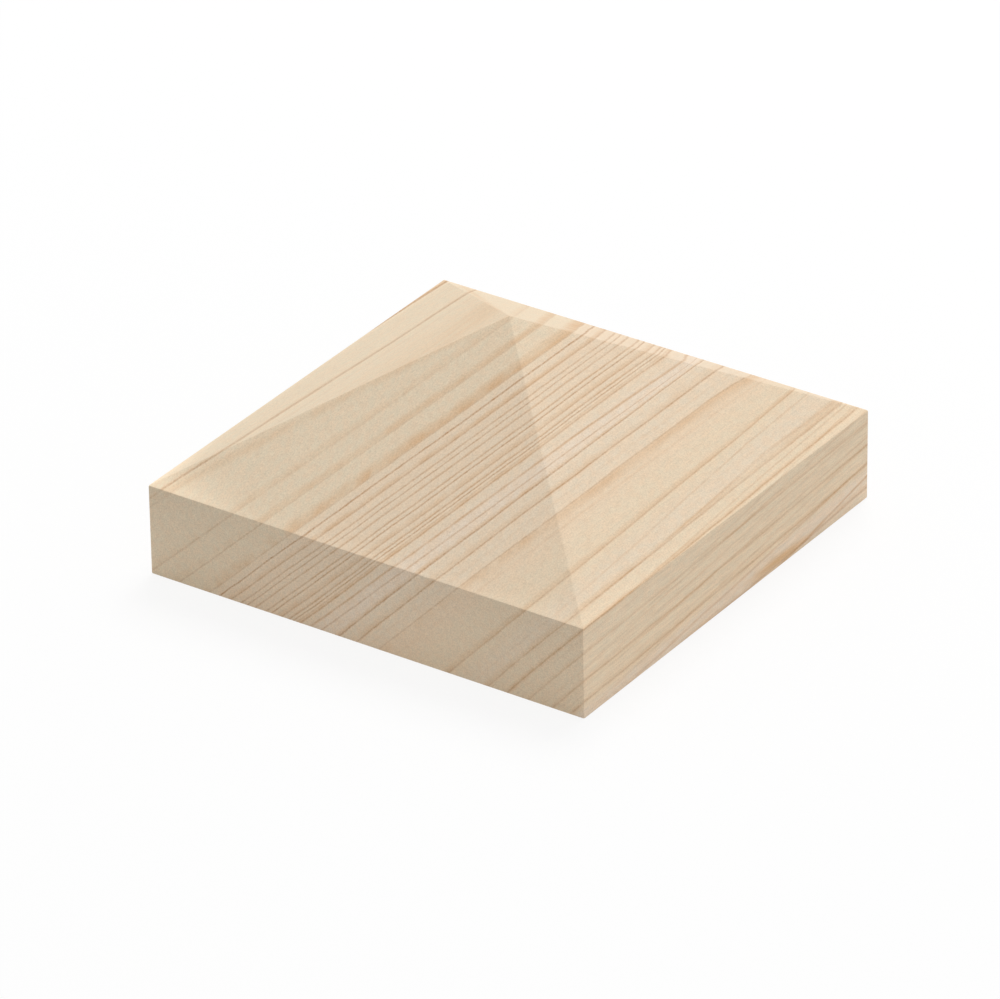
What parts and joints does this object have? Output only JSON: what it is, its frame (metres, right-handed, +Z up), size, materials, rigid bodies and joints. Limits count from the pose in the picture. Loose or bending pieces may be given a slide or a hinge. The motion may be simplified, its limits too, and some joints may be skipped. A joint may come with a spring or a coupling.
{
  "type": "pyramid post cap",
  "caption": "Square wooden cap for the top of a stair newel post: upright sides, low four-sided pyramid top and a shallow square recess underneath that sits over the post.",
  "frame": {"origin": "middle of the square underside", "axes": "+Z up through the apex; X and Y square to the upright sides, with the wood's fibres along Y"},
  "size_m": [0.116, 0.116, 0.0559],
  "materials": {
    "pine": "bare planed and sanded softwood, matt"
  },
  "bodies": {
    "root": {"pyramid_cap": "pine"}
  },
  "joints": []
}
